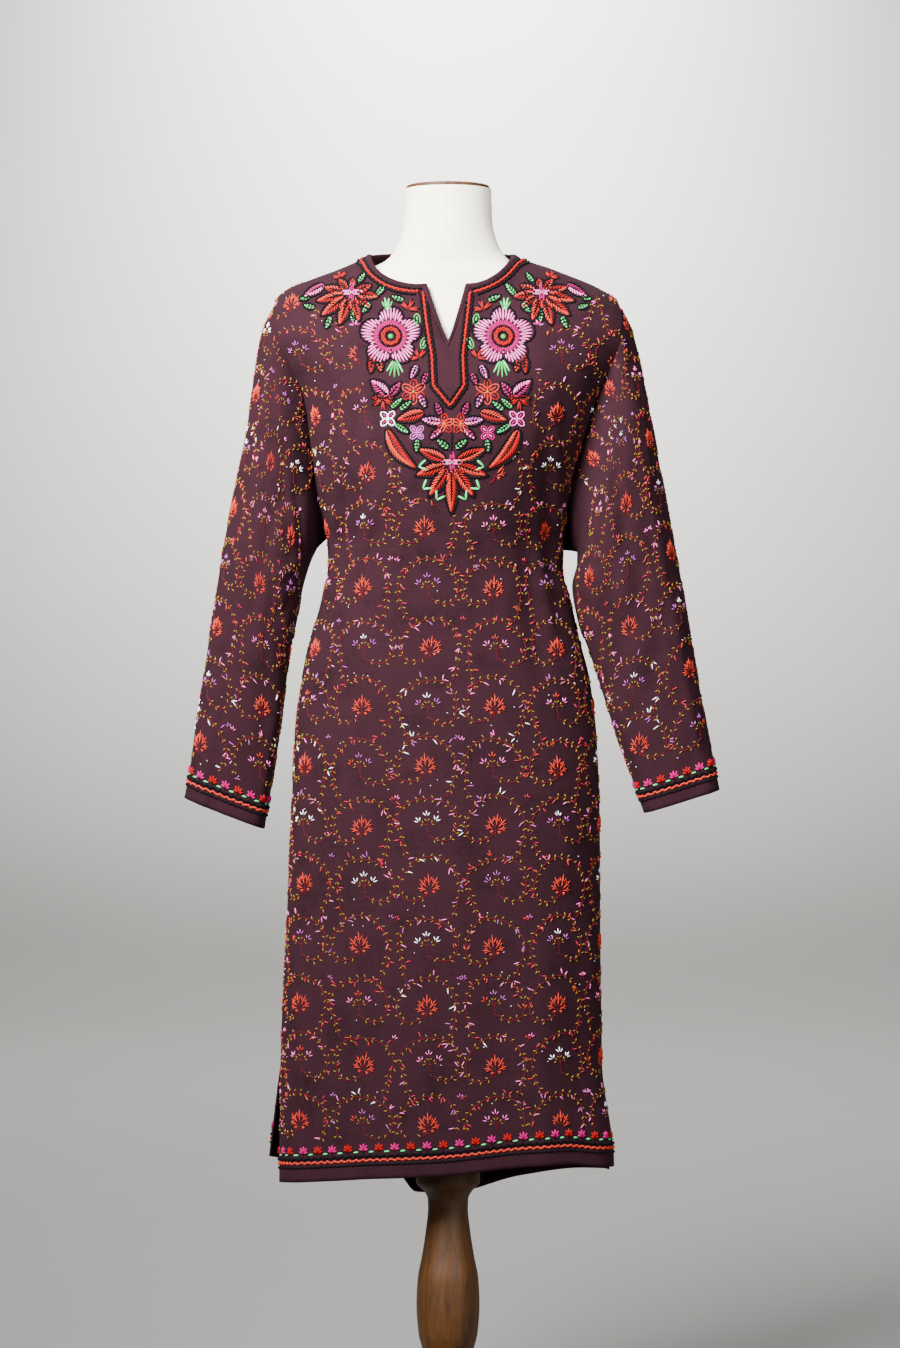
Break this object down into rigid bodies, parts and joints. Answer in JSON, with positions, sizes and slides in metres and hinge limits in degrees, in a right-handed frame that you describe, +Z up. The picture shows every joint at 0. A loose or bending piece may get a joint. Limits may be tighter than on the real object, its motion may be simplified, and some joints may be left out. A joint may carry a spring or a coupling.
{
  "type": "pheran on a limbless dress form with a turned wooden stand",
  "caption": "Knee-length embroidered wool tunic with long set-in sleeves, V slit neck and side vents, worn by a limbless dress form on a turned wooden post and a round base",
  "frame": {"origin": "centre of the base's underside, on the floor", "axes": "+Z up; the wearer's front faces -Y; +X is the viewer's right, the wearer's left"},
  "size_m": [0.642, 0.344, 1.5263],
  "materials": {
    "plum_wool": "napped wool flannel, plum, with wool embroidery",
    "cream_canvas": "matt cream canvas cover",
    "turned_wood": "turned and varnished, satin",
    "dark_wood": "turned and varnished, satin, redder",
    "steel_pole": "polished"
  },
  "bodies": {
    "root": {"front": "plum_wool", "back": "plum_wool", "sleeve_left": "plum_wool", "sleeve_right": "plum_wool", "neck_binding": "plum_wool", "form_torso": "cream_canvas", "neck_cap": "dark_wood", "form_base_plate": "turned_wood", "pole": "steel_pole", "post": "turned_wood", "post_foot": "dark_wood", "base": "dark_wood"}
  },
  "joints": []
}
